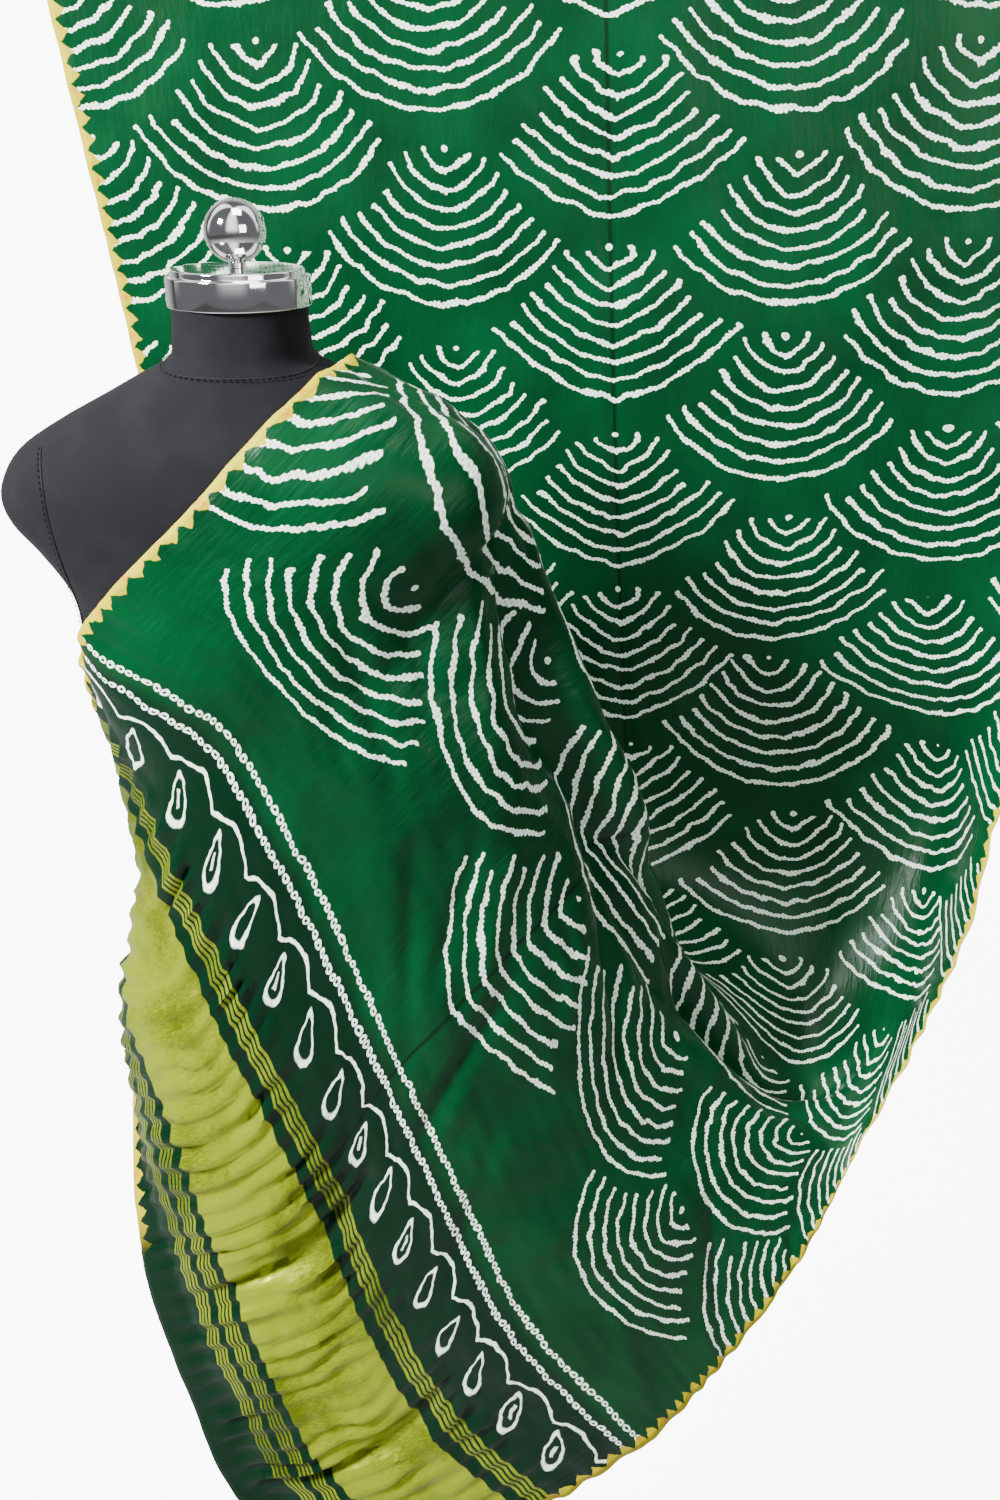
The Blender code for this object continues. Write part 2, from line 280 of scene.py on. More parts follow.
def noise(tree, place, scale, detail=2.0):
    """The outputs of a noise texture that is read at a place."""
    made = tree.nodes.new("ShaderNodeTexNoise")
    made.inputs["Scale"].default_value = scale
    made.inputs["Detail"].default_value = detail
    tree.links.new(place, made.inputs["Vector"])
    return made.outputs


knit = bpy.data.node_groups.new("knitted_cover", "ShaderNodeTree")
knit.interface.new_socket("Place", in_out="INPUT", socket_type="NodeSocketVector")
knit.interface.new_socket("Loops", in_out="OUTPUT", socket_type="NodeSocketFloat")
knit.interface.new_socket("Lint", in_out="OUTPUT", socket_type="NodeSocketFloat")
knit_in = knit.nodes.new("NodeGroupInput")
knit_out = knit.nodes.new("NodeGroupOutput")
knit_grain = noise(knit, knit_in.outputs["Place"], 620.0, 3.0)
knit_lint = noise(knit, knit_in.outputs["Place"], 26.0, 6.0)
knit.links.new(knit_grain["Fac"], knit_out.inputs["Loops"])
knit.links.new(fade(knit, knit_lint["Fac"], 0.42, 0.72), knit_out.inputs["Lint"])


def cover_finish(name, dark, pale, roughness):
    """Black knitted fabric: fine loops in relief and a little pale lint."""
    finish = bpy.data.materials.new(name)
    finish.use_nodes = True
    tree = finish.node_tree
    shader = tree.nodes["Principled BSDF"]
    place = tree.nodes.new("ShaderNodeTexCoord")
    fabric = tree.nodes.new("ShaderNodeGroup")
    fabric.node_tree = knit
    tree.links.new(place.outputs["Object"], fabric.inputs["Place"])
    tree.links.new(blend_colour(tree, fabric.outputs["Lint"], dark, pale), shader.inputs["Base Color"])
    bump = tree.nodes.new("ShaderNodeBump")
    bump.inputs["Strength"].default_value = 0.45
    bump.inputs["Distance"].default_value = 0.0006
    tree.links.new(fabric.outputs["Loops"], bump.inputs["Height"])
    tree.links.new(bump.outputs["Normal"], shader.inputs["Normal"])
    shader.inputs["Roughness"].default_value = roughness
    shader.inputs["Specular IOR Level"].default_value = 0.10
    shader.inputs["Sheen Weight"].default_value = 0.02
    shader.inputs["Sheen Roughness"].default_value = 0.5
    return finish


bust_cover = cover_finish("bust_cover", BUST_BLACK, BUST_WORN, 0.85)
bust_levels = np.linspace(bust_heights[0], bust_heights[-1], BUST_LEVELS)
bust_angles = [2 * math.pi * index / BUST_SIDES for index in range(BUST_SIDES)]
bust_mesh = loft([[bust_point(level, angle) for angle in bust_angles] for level in bust_levels])
bust_torso = place_piece("bust_torso", bust_mesh, bust_cover, math.radians(40))
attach(bust_torso, "root")
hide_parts("bust_form")

# The cover's seams: a corded seam round the foot of the neck and one round each armhole, sewn
# with a black thread whose stitches show as small bars beside the cord.
SEAM_RADIUS = 0.0011
STITCH_PITCH = 0.0052
STITCH_LENGTH = 0.0030
STITCH_RADIUS = 0.00045
SEAM_STEPS = 120
NECK_SEAM_HEIGHT = -0.319
NECK_SEAM_DIP = 0.008
ARM_SEAM_TOP = -0.386
ARM_SEAM_FOOT = -0.545
ARM_SEAM_OFFSET = 0.166
ARM_SEAM_LEAN = 0.018


def neck_seam():
    """A ring round the foot of the neck that dips towards the front."""
    points = []
    for index in range(SEAM_STEPS):
        angle = 2 * math.pi * index / SEAM_STEPS
        points.append(bust_point(NECK_SEAM_HEIGHT + NECK_SEAM_DIP * min(0.0, math.sin(angle)), angle))
    return points


def arm_seam(side):
    """A long loop round the armhole, down the front of the shoulder and up its back."""
    points = []
    middle = (ARM_SEAM_TOP + ARM_SEAM_FOOT) / 2
    reach = (ARM_SEAM_TOP - ARM_SEAM_FOOT) / 2
    for index in range(SEAM_STEPS):
        turn = 2 * math.pi * index / SEAM_STEPS
        height = middle + reach * math.cos(turn)
        width = smooth_rows(bust_heights, bust_sizes, np.array([height]))[0][0]
        offset = ARM_SEAM_OFFSET - ARM_SEAM_LEAN * (ARM_SEAM_TOP - height) / (2 * reach)
        share = min(0.9995, offset / width) ** (1 / BUST_SQUARENESS)
        angle = math.copysign(math.acos(share), -math.sin(turn))
        angle = angle if side > 0 else math.pi - angle
        points.append(bust_point(height, angle))
    return points


stitching = bpy.data.node_groups.new("stitched_seam", "GeometryNodeTree")
stitching.interface.new_socket("Geometry", in_out="INPUT", socket_type="NodeSocketGeometry")
for socket_name, socket_kind in (
    ("Cord radius", "NodeSocketFloat"),
    ("Stitch pitch", "NodeSocketFloat"),
    ("Stitch length", "NodeSocketFloat"),
    ("Stitch radius", "NodeSocketFloat"),
    ("Finish", "NodeSocketMaterial"),
):
    stitching.interface.new_socket(socket_name, in_out="INPUT", socket_type=socket_kind)
stitching.interface.new_socket("Geometry", in_out="OUTPUT", socket_type="NodeSocketGeometry")
sew_in = stitching.nodes.new("NodeGroupInput")
sew_out = stitching.nodes.new("NodeGroupOutput")
sew_path = stitching.nodes.new("GeometryNodeMeshToCurve")
stitching.links.new(sew_in.outputs["Geometry"], sew_path.inputs["Mesh"])
sew_round = stitching.nodes.new("GeometryNodeCurvePrimitiveCircle")
sew_round.inputs["Resolution"].default_value = 8
stitching.links.new(sew_in.outputs["Cord radius"], sew_round.inputs["Radius"])
sew_cord = stitching.nodes.new("GeometryNodeCurveToMesh")
stitching.links.new(sew_path.outputs["Curve"], sew_cord.inputs["Curve"])
stitching.links.new(sew_round.outputs["Curve"], sew_cord.inputs["Profile Curve"])
sew_points = stitching.nodes.new("GeometryNodeCurveToPoints")
sew_points.mode = "LENGTH"
stitching.links.new(sew_path.outputs["Curve"], sew_points.inputs["Curve"])
stitching.links.new(sew_in.outputs["Stitch pitch"], sew_points.inputs["Length"])
sew_bar = stitching.nodes.new("GeometryNodeMeshCylinder")
sew_bar.inputs["Vertices"].default_value = 6
stitching.links.new(sew_in.outputs["Stitch radius"], sew_bar.inputs["Radius"])
stitching.links.new(sew_in.outputs["Stitch length"], sew_bar.inputs["Depth"])
sew_lay = stitching.nodes.new("GeometryNodeInstanceOnPoints")
stitching.links.new(sew_points.outputs["Points"], sew_lay.inputs["Points"])
stitching.links.new(sew_bar.outputs["Mesh"], sew_lay.inputs["Instance"])
stitching.links.new(sew_points.outputs["Rotation"], sew_lay.inputs["Rotation"])
sew_aside = stitching.nodes.new("GeometryNodeTranslateInstances")
sew_aside.inputs["Translation"].default_value = (0.0028, 0.0, 0.0)
sew_aside.inputs["Local Space"].default_value = True
stitching.links.new(sew_lay.outputs["Instances"], sew_aside.inputs["Instances"])
sew_join = stitching.nodes.new("GeometryNodeJoinGeometry")
stitching.links.new(sew_cord.outputs["Mesh"], sew_join.inputs[0])
stitching.links.new(sew_aside.outputs["Instances"], sew_join.inputs[0])
sew_real = stitching.nodes.new("GeometryNodeRealizeInstances")
stitching.links.new(sew_join.outputs[0], sew_real.inputs[0])
sew_finish = stitching.nodes.new("GeometryNodeSetMaterial")
stitching.links.new(sew_real.outputs[0], sew_finish.inputs["Geometry"])
stitching.links.new(sew_in.outputs["Finish"], sew_finish.inputs["Material"])
stitching.links.new(sew_finish.outputs[0], sew_out.inputs[0])

seam_cover = cover_finish("seam_cord", (0.005, 0.005, 0.006, 1.0), (0.010, 0.010, 0.012, 1.0), 0.6)
seam_path = bmesh.new()
for loop in (neck_seam(), arm_seam(-1), arm_seam(1)):
    corners = [seam_path.verts.new(point) for point in loop]
    for index, corner in enumerate(corners):
        seam_path.edges.new((corner, corners[(index + 1) % len(corners)]))
seam_data = bpy.data.meshes.new("seam_path")
seam_path.to_mesh(seam_data)
seam_path.free()
seam_guide = bpy.data.objects.new("seam_path", seam_data)
bpy.context.scene.collection.objects.link(seam_guide)
sewing = seam_guide.modifiers.new("Sewing", "NODES")
sewing.node_group = stitching
sew_values = {
    "Cord radius": SEAM_RADIUS,
    "Stitch pitch": STITCH_PITCH,
    "Stitch length": STITCH_LENGTH,
    "Stitch radius": STITCH_RADIUS,
    "Finish": seam_cover,
}
for item in stitching.interface.items_tree:
    if item.in_out == "INPUT" and item.name in sew_values:
        sewing[item.identifier] = sew_values[item.name]
bpy.context.view_layer.update()
sewn = seam_guide.evaluated_get(bpy.context.evaluated_depsgraph_get())
seam_mesh = bpy.data.meshes.new_from_object(sewn)
seam_mesh.shade_smooth()
bpy.data.objects.remove(seam_guide)
bust_seams = bpy.data.objects.new("bust_seams", seam_mesh)
bpy.context.scene.collection.objects.link(bust_seams)
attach(bust_seams, "root")

# The neck cap and its ball: thin steel, pressed and turned, chrome plated and polished. The cap
# is pushed over the neck's cut end and the ball is screwed into the middle of its top plate.
CAP_RADIUS = 0.060
CAP_PLATE_RADIUS = 0.055
CAP_LOW = -0.2765
CAP_RIM_TOP = -0.2525
CAP_TOP = -0.2470
CAP_ROUND = 0.0015
BALL_RADIUS = 0.0255
BALL_STEM_RADIUS = 0.007
BALL_RISE = 0.0285
SEAT_GAP = 0.0003
TURNED_SIDES = 128
CORNER_STEPS = 5
BALL_STEPS = 56


def rounded_profile(corners, size):
    """Replace each inner corner of a (radius, height) profile with a small curve."""
    profile = [corners[0]]
    for before, corner, after in zip(corners, corners[1:], corners[2:]):
        start = Vector(corner) + (Vector(before) - Vector(corner)).normalized() * size
        end = Vector(corner) + (Vector(after) - Vector(corner)).normalized() * size
        for index in range(CORNER_STEPS + 1):
            t = index / CORNER_STEPS
            profile.append(tuple((1 - t) ** 2 * start + 2 * t * (1 - t) * Vector(corner) + t * t * end))
    profile.append(corners[-1])
    return profile


def turned(profile):
    """A turned solid on the bust's axis: the profile is (radius, height) rows, low to high."""
    outlines = []
    for radius, height in profile:
        outline = []
        for index in range(TURNED_SIDES):
            angle = 2 * math.pi * index / TURNED_SIDES
            outline.append((BUST_X + radius * math.cos(angle), BUST_Y + radius * math.sin(angle), height))
        outlines.append(outline)
    return loft(outlines)


chrome = bpy.data.materials.new("polished_chrome")
chrome.use_nodes = True
chrome_tree = chrome.node_tree
chrome_shader = chrome_tree.nodes["Principled BSDF"]
chrome_shader.inputs["Metallic"].default_value = 1.0
chrome_place = chrome_tree.nodes.new("ShaderNodeTexCoord")
chrome_smear = noise(chrome_tree, chrome_place.outputs["Object"], 38.0, 5.0)
chrome_dull = fade(chrome_tree, chrome_smear["Fac"], 0.35, 0.75)
chrome_rough = calc(chrome_tree, "MULTIPLY_ADD", chrome_dull, 0.06, 0.04)
chrome_tree.links.new(chrome_rough, chrome_shader.inputs["Roughness"])
chrome_colour = blend_colour(chrome_tree, chrome_dull, (0.90, 0.90, 0.90, 1.0), (0.78, 0.78, 0.78, 1.0))
chrome_tree.links.new(chrome_colour, chrome_shader.inputs["Base Color"])

cap_corners = (
    (CAP_RADIUS - 3 * CAP_ROUND, CAP_LOW),
    (CAP_RADIUS, CAP_LOW),
    (CAP_RADIUS, CAP_RIM_TOP),
    (CAP_PLATE_RADIUS, CAP_RIM_TOP),
    (CAP_PLATE_RADIUS, CAP_TOP),
    (CAP_PLATE_RADIUS - 3 * CAP_ROUND, CAP_TOP),
)
cap_mesh = turned(rounded_profile(cap_corners, CAP_ROUND))
cap_shell = place_piece("cap_shell", cap_mesh, chrome, math.radians(35))
ball_foot = CAP_TOP + SEAT_GAP
ball_centre = ball_foot + BALL_RISE
ball_first = math.asin(BALL_STEM_RADIUS / BALL_RADIUS)
ball_profile = [(BALL_STEM_RADIUS, ball_foot)]
for index in range(BALL_STEPS + 1):
    angle = ball_first + (math.radians(178.5) - ball_first) * index / BALL_STEPS
    ball_profile.append((BALL_RADIUS * math.sin(angle), ball_centre - BALL_RADIUS * math.cos(angle)))
cap_ball = place_piece("cap_ball", turned(ball_profile), chrome, math.radians(35))
for piece, node in ((cap_shell, "neck_cap"), (cap_ball, "ball_finial")):
    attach(piece, "root")
    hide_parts(node)

# The cloth: one length of green satin silk, tied in small points and dyed, with a gold brocade
# band and metal-thread stripes woven in near its end and yellow teeth dyed along its edges.
# It hangs from its top edge, dips behind the bust, and falls from the shoulder to the lower left.
CLOTH_WIDTH = 1.09
CLOTH_LENGTH = 2.15
CLOTH_THICKNESS = 0.0014
CELLS_ACROSS = 152
BACK_CELLS = 84
FRONT_CELLS = 216
FRONT_FROM = 1.12
CLOTH_CLEARANCE = 0.0024
REST_CLEARANCE = 0.0070
CLEARING_PASSES = 3
FALL_HEIGHT = -1.70
FALL_SIZE = (0.140, 0.080)
ACROSS = (0.0, 0.14, 0.28, 0.5, 0.6667, 0.8333, 1.0)
Section = namedtuple("Section", "down left left_in left_mid middle right_mid right_in right")
SECTIONS = (
    Section(0.000, (-0.545, 0.000, 0.000), (-0.392, 0.000, 0.000), (-0.240, 0.000, 0.000),
            (0.000, 0.000, 0.000), (0.182, 0.000, 0.000), (0.364, 0.000, 0.000), (0.545, 0.000, 0.000)),
    Section(0.400, (-0.487, 0.000, -0.398), (-0.345, 0.000, -0.400), (-0.202, 0.000, -0.400),
            (0.021, 0.000, -0.400), (0.203, 0.000, -0.400), (0.378, 0.000, -0.400), (0.550, -0.005, -0.400)),
    Section(0.700, (-0.450, -0.010, -0.690), (-0.310, -0.005, -0.695), (-0.175, 0.000, -0.700),
            (0.040, 0.000, -0.700), (0.213, 0.000, -0.700), (0.400, 0.000, -0.700), (0.530, -0.070, -0.700)),
    Section(0.850, (-0.415, -0.105, -0.785), (-0.285, -0.085, -0.820), (-0.155, -0.060, -0.842),
            (0.050, 0.000, -0.850), (0.235, 0.000, -0.850), (0.420, -0.005, -0.850), (0.460, -0.120, -0.845)),
    Section(1.000, (-0.370, -0.195, -0.690), (-0.240, -0.190, -0.745), (-0.130, -0.165, -0.850),
            (0.055, -0.050, -0.985), (0.245, -0.020, -1.000), (0.400, -0.060, -0.990), (0.415, -0.200, -0.960)),
    Section(1.150, (-0.325, -0.220, -0.545), (-0.170, -0.215, -0.600), (-0.090, -0.205, -0.700),
            (0.050, -0.155, -0.985), (0.255, -0.090, -1.120), (0.370, -0.140, -1.080), (0.355, -0.245, -1.085)),
    Section(1.300, (-0.275, -0.250, -0.410), (-0.127, -0.227, -0.468), (-0.050, -0.222, -0.590),
            (0.030, -0.215, -0.850), (0.205, -0.195, -1.150), (0.285, -0.235, -1.175), (0.298, -0.275, -1.205)),
    Section(1.437, (-0.225, -0.325, -0.318), (-0.113, -0.320, -0.392), (-0.060, -0.300, -0.552),
            (0.030, -0.280, -0.795), (0.110, -0.275, -1.050), (0.180, -0.295, -1.185), (0.245, -0.315, -1.303)),
    Section(1.620, (-0.347, -0.415, -0.419), (-0.255, -0.420, -0.505), (-0.165, -0.405, -0.640),
            (-0.080, -0.390, -0.855), (-0.010, -0.375, -1.090), (0.060, -0.375, -1.250), (0.150, -0.360, -1.430)),
    Section(1.792, (-0.462, -0.385, -0.545), (-0.348, -0.425, -0.610), (-0.281, -0.425, -0.746),
            (-0.198, -0.425, -0.972), (-0.136, -0.425, -1.140), (-0.070, -0.420, -1.310), (0.063, -0.400, -1.508)),
    Section(1.944, (-0.480, -0.315, -0.640), (-0.430, -0.385, -0.764), (-0.379, -0.420, -0.895),
            (-0.297, -0.425, -1.122), (-0.247, -0.425, -1.298), (-0.180, -0.425, -1.466), (-0.070, -0.420, -1.600)),
    Section(2.150, (-0.420, -0.210, -0.800), (-0.455, -0.250, -0.900), (-0.478, -0.305, -1.005),
            (-0.485, -0.380, -1.240), (-0.450, -0.405, -1.410), (-0.395, -0.425, -1.580), (-0.260, -0.415, -1.700)),
)

# The main folds and the finer creases, from (across, down) to (across, down) on the flat cloth.
# A positive height stands proud of the face that shows at the front.
Fold = namedtuple("Fold", "name across_from down_from across_to down_to height half_width")
FOLDS = (
    Fold("shoulder pleat", 0.10, 1.46, 0.47, 1.60, 0.010, 0.034),
    Fold("arm pleat", 0.27, 1.42, 0.60, 1.43, 0.015, 0.036),
    Fold("swag pleat", 0.62, 1.48, 0.90, 1.40, 0.010, 0.036),
    Fold("arm valley", 0.21, 1.49, 0.58, 1.50, -0.014, 0.034),
    Fold("swag valley", 0.54, 1.49, 0.76, 1.36, -0.014, 0.034),
    Fold("hip fold", 0.30, 1.70, 0.70, 1.78, 0.007, 0.040),
    Fold("border pinch", 0.60, 1.86, 0.63, 2.06, -0.008, 0.034),
    Fold("low border pinch", 0.88, 1.90, 0.93, 2.08, -0.008, 0.034),
    Fold("end curl", 0.75, 2.13, 1.00, 2.12, -0.010, 0.036),
    Fold("crease by the shoulder", 0.12, 1.44, 0.36, 1.55, -0.004, 0.012),
    Fold("shoulder notch", 0.17, 1.30, 0.23, 1.46, -0.010, 0.017),
    Fold("left edge of the arm pleat", 0.22, 1.475, 0.42, 1.525, -0.013, 0.011),
    Fold("deep valley", 0.35, 1.515, 0.56, 1.485, -0.017, 0.016),
    Fold("deep valley turn", 0.53, 1.495, 0.63, 1.34, -0.021, 0.017),
    Fold("deep valley foot", 0.61, 1.38, 0.645, 1.26, -0.015, 0.018),
    Fold("lip over the valley", 0.38, 1.465, 0.56, 1.42, 0.011, 0.018),
    Fold("lip turn", 0.53, 1.435, 0.63, 1.28, 0.011, 0.018),
    Fold("hanging crease", 0.52, 1.50, 0.69, 1.55, -0.011, 0.012),
    Fold("low trough", 0.58, 1.515, 0.70, 1.45, -0.012, 0.018),
    Fold("low trough turn", 0.67, 1.48, 0.74, 1.33, -0.016, 0.020),
    Fold("low trough end", 0.71, 1.37, 0.87, 1.24, -0.014, 0.020),
    Fold("fan roll", 0.62, 1.45, 0.69, 1.31, 0.011, 0.018),
    Fold("side roll", 0.74, 1.45, 0.84, 1.32, 0.010, 0.022),
    Fold("waist knot", 0.57, 1.67, 0.625, 1.80, -0.007, 0.012),
    Fold("long waist crease", 0.38, 1.69, 0.53, 1.77, -0.006, 0.014),
    Fold("crease in the arm pleat", 0.36, 1.41, 0.60, 1.37, -0.006, 0.012),
    Fold("crease over the arm", 0.20, 1.40, 0.50, 1.41, -0.004, 0.012),
    Fold("long crease to the swag", 0.40, 1.545, 0.72, 1.46, -0.005, 0.011),
    Fold("short crease to the swag", 0.62, 1.43, 0.86, 1.38, -0.004, 0.012),
    Fold("swag roll", 0.66, 1.33, 0.90, 1.30, 0.006, 0.020),
    Fold("low swag crease", 0.80, 1.36, 1.02, 1.33, -0.004, 0.012),
    Fold("side crease", 0.88, 1.50, 1.07, 1.60, -0.004, 0.012),
    Fold("low side crease", 0.95, 1.70, 1.08, 1.76, 0.004, 0.014),
    Fold("chest crease", 0.14, 1.60, 0.33, 1.68, -0.003, 0.014),
    Fold("waist crease", 0.42, 1.62, 0.52, 1.74, -0.003, 0.012),
    Fold("waist roll", 0.47, 1.60, 0.60, 1.72, 0.004, 0.018),
    Fold("ring line crease", 0.68, 1.72, 0.80, 1.86, -0.003, 0.014),
    Fold("upper band pinch", 0.60, 1.88, 0.625, 2.11, -0.012, 0.010),
    Fold("beside the upper pinch", 0.63, 1.90, 0.655, 2.09, 0.007, 0.014),
    Fold("lower band pinch", 0.88, 1.91, 0.915, 2.12, -0.012, 0.010),
    Fold("beside the lower pinch", 0.912, 1.92, 0.95, 2.10, 0.007, 0.014),
    Fold("middle band pinch", 0.43, 1.93, 0.44, 2.07, -0.005, 0.010),
    Fold("left band pinch", 0.22, 1.94, 0.23, 2.07, -0.004, 0.011),
    Fold("middle press fold", 0.545, 0.00, 0.545, 1.10, -0.0022, 0.0035),
    Fold("second press fold", 0.545, 1.30, 0.545, 2.15, -0.0016, 0.0035),
)
CRUMPLE_SEED = 41
LONG_CRUMPLE = 0.0018
FINE_CRUMPLE = 0.0006
PRESS_CRUMPLE = 0.0010
FRONT_CRUMPLE = 0.0030
EDGE_WAVE = 0.0022
PUCKER_PITCH = 0.026
PUCKER_HEIGHT = 0.0056
END_FROM, END_TO = 0.020, 0.262


def lattice_noise(across, down, pitch_across, pitch_down, seed):
    """Smooth unevenness from -1 to 1, with its own pitch each way."""
    columns = across / pitch_across
    rows = down / pitch_down
    table = np.random.default_rng(seed).uniform(-1, 1, (int(rows.max()) + 3, int(columns.max()) + 3))
    column, row = np.floor(columns).astype(int), np.floor(rows).astype(int)
    share_across, share_down = columns - column, rows - row
    share_across = share_across * share_across * (3 - 2 * share_across)
    share_down = share_down * share_down * (3 - 2 * share_down)
    upper = table[row, column] * (1 - share_across) + table[row, column + 1] * share_across
    lower = table[row + 1, column] * (1 - share_across) + table[row + 1, column + 1] * share_across
    return upper * (1 - share_down) + lower * share_down


def window(values, start, end, soft):
    """1 between start and end, falling softly to 0 outside."""
    rise = np.clip((values - start) / soft + 0.5, 0, 1)
    fall = np.clip((end - values) / soft + 0.5, 0, 1)
    return rise * rise * (3 - 2 * rise) * fall * fall * (3 - 2 * fall)


def cloth_points(across, down):
    """The middle surface of the cloth: a grid of places, rows down and columns across."""
    net = np.array([section[1:] for section in SECTIONS])
    downs = np.array([section.down for section in SECTIONS])
    acrosses = np.array(ACROSS) * CLOTH_WIDTH
    along = smooth_rows(downs, net.reshape(len(SECTIONS), -1), down)
    along = along.reshape(len(down), len(ACROSS), 3)
    return np.array([smooth_rows(acrosses, row, across) for row in along])


def front_normals(grid):
    """Unit normals of the grid, towards the face that shows at the front of the drape."""
    step_down = np.gradient(grid, axis=0)
    step_across = np.gradient(grid, axis=1)
    normals = np.cross(step_across, step_down)
    return -normals / np.linalg.norm(normals, axis=2, keepdims=True)


def fold_heights(flat_across, flat_down):
    """How far the folds lift the cloth at each place of the flat grid."""
    total = np.zeros_like(flat_across)
    for fold in FOLDS:
        run_across = fold.across_to - fold.across_from
        run_down = fold.down_to - fold.down_from
        run = math.hypot(run_across, run_down)
        off_across = flat_across - fold.across_from
        off_down = flat_down - fold.down_from
        along = np.clip((off_across * run_across + off_down * run_down) / run ** 2, 0.0, 1.0)
        aside = np.hypot(off_across - along * run_across, off_down - along * run_down)
        fade_out = 0.35 + 0.65 * np.sin(math.pi * along)
        total += fold.height * fade_out * np.exp(-((aside / fold.half_width) ** 2))
    return total


def crumple_heights(flat_across, flat_down):
    """The small unevenness of washed silk, the press creases and the puckers of the woven end."""
    total = LONG_CRUMPLE * lattice_noise(flat_across, flat_down, 0.055, 0.085, CRUMPLE_SEED)
    total += FINE_CRUMPLE * lattice_noise(flat_across, flat_down, 0.020, 0.034, CRUMPLE_SEED + 1)
    by_fold = np.exp(-(((flat_across - CLOTH_WIDTH / 2) / 0.085) ** 2))
    total += PRESS_CRUMPLE * by_fold * lattice_noise(flat_across, flat_down, 0.0085, 0.16, CRUMPLE_SEED + 2)
    from_end = CLOTH_LENGTH - flat_down
    in_end = window(from_end, END_FROM, END_TO, 0.03)
    drift = 0.40 * lattice_noise(flat_across, flat_down, 0.05, 0.045, CRUMPLE_SEED + 3)
    waves = np.sin(2 * math.pi * (flat_across / PUCKER_PITCH + drift))
    strength = 0.55 + 0.45 * lattice_noise(flat_across, flat_down, 0.04, 0.05, CRUMPLE_SEED + 4)
    total += PUCKER_HEIGHT * in_end * strength * waves
    front = window(flat_down, 1.42, 2.3, 0.1)
    fine = lattice_noise(flat_across, flat_down, 0.030, 0.012, CRUMPLE_SEED + 5)
    patches = np.clip(lattice_noise(flat_across, flat_down, 0.12, 0.12, CRUMPLE_SEED + 6), 0, 1)
    total += FRONT_CRUMPLE * front * fine * (0.3 + 0.7 * patches)
    edge = np.exp(-np.minimum(flat_across, CLOTH_WIDTH - flat_across) / 0.010)
    total += EDGE_WAVE * edge * np.sin(2 * math.pi * flat_down / 0.052 + 2 * np.sin(flat_down * 23))
    return total


def lift_off(grid, tree, clearance):
    """Move the cloth's places clear of the form in the tree."""
    for _ in range(CLEARING_PASSES):
        flat = grid.reshape(-1, 3)
        moved = 0
        for place in flat:
            here = Vector(place)
            nearest, normal, _, distance = tree.find_nearest(here, 0.04)
            if nearest is None:
                continue
            inside = (here - nearest).dot(normal) < 0
            if inside or distance < clearance:
                place[:] = nearest + normal * clearance
                moved += 1
        if not moved:
            break


across = np.linspace(0.0, CLOTH_WIDTH, CELLS_ACROSS + 1)
back_down = np.linspace(0.0, FRONT_FROM, BACK_CELLS + 1)
front_down = np.linspace(FRONT_FROM, CLOTH_LENGTH, FRONT_CELLS + 1)
down = np.concatenate((back_down, front_down[1:]))
flat_across, flat_down = np.meshgrid(across, down)
cloth_grid = cloth_points(across, down)
fall_ring = [
    (BUST_X + FALL_SIZE[0] * math.copysign(abs(math.cos(angle)) ** BUST_SQUARENESS, math.cos(angle)),
     BUST_Y - 0.004 + FALL_SIZE[1] * math.copysign(abs(math.sin(angle)) ** BUST_SQUARENESS, math.sin(angle)),
     FALL_HEIGHT)
    for angle in bust_angles
]
bust_rows = [[bust_point(level, angle) for angle in bust_angles] for level in bust_levels]
drape_rows = [row for row, level in zip(bust_rows, bust_levels) if level > BUST_RINGS[2].height]
drape_form = loft([fall_ring] + drape_rows)
lift_off(cloth_grid, BVHTree.FromBMesh(drape_form), REST_CLEARANCE)
relief = fold_heights(flat_across, flat_down) + crumple_heights(flat_across, flat_down)
cloth_grid += front_normals(cloth_grid) * relief[:, :, None]
bust_form = loft(bust_rows)
lift_off(cloth_grid, BVHTree.FromBMesh(bust_form), CLOTH_CLEARANCE)
drape_form.free()
bust_form.free()

silk_mesh = bmesh.new()
silk_uv = silk_mesh.loops.layers.uv.new("flat_cloth")
silk_corners = [[silk_mesh.verts.new(place) for place in row] for row in cloth_grid]
for row in range(len(down) - 1):
    for column in range(CELLS_ACROSS):
        places = ((row, column), (row + 1, column), (row + 1, column + 1), (row, column + 1))
        face = silk_mesh.faces.new([silk_corners[r][c] for r, c in places])
        for corner, (r, c) in zip(face.loops, places):
            corner[silk_uv].uv = (across[c], down[r])

# The dyed fan: eight rows of tied points round one dot, laid out like fish scales.
COLUMN_PITCH = CLOTH_WIDTH / 6
ROW_PITCH = 0.186
FIRST_FOOT = 0.128
FAN_REACH = 0.149
ARC_STEP = 0.0186
BEAD_PITCH = 0.0050
BEAD_RADIUS = 0.0025
HOLE_RADIUS = 0.0007
LAST_FOOT = 1.74
FOOT_ROOM = 0.012


def root_sum(tree, first, second):
    """The length of a step with two parts."""
    return calc(tree, "SQRT", calc(tree, "ADD", calc(tree, "MULTIPLY", first, first),
                                   calc(tree, "MULTIPLY", second, second)))


def bundle(tree, *values):
    """Numbers put together as one vector, for a texture to read."""
    made = tree.nodes.new("ShaderNodeCombineXYZ")
    for socket, value in zip(made.inputs, values):
        link_value(tree, value, socket)
    return made.outputs[0]


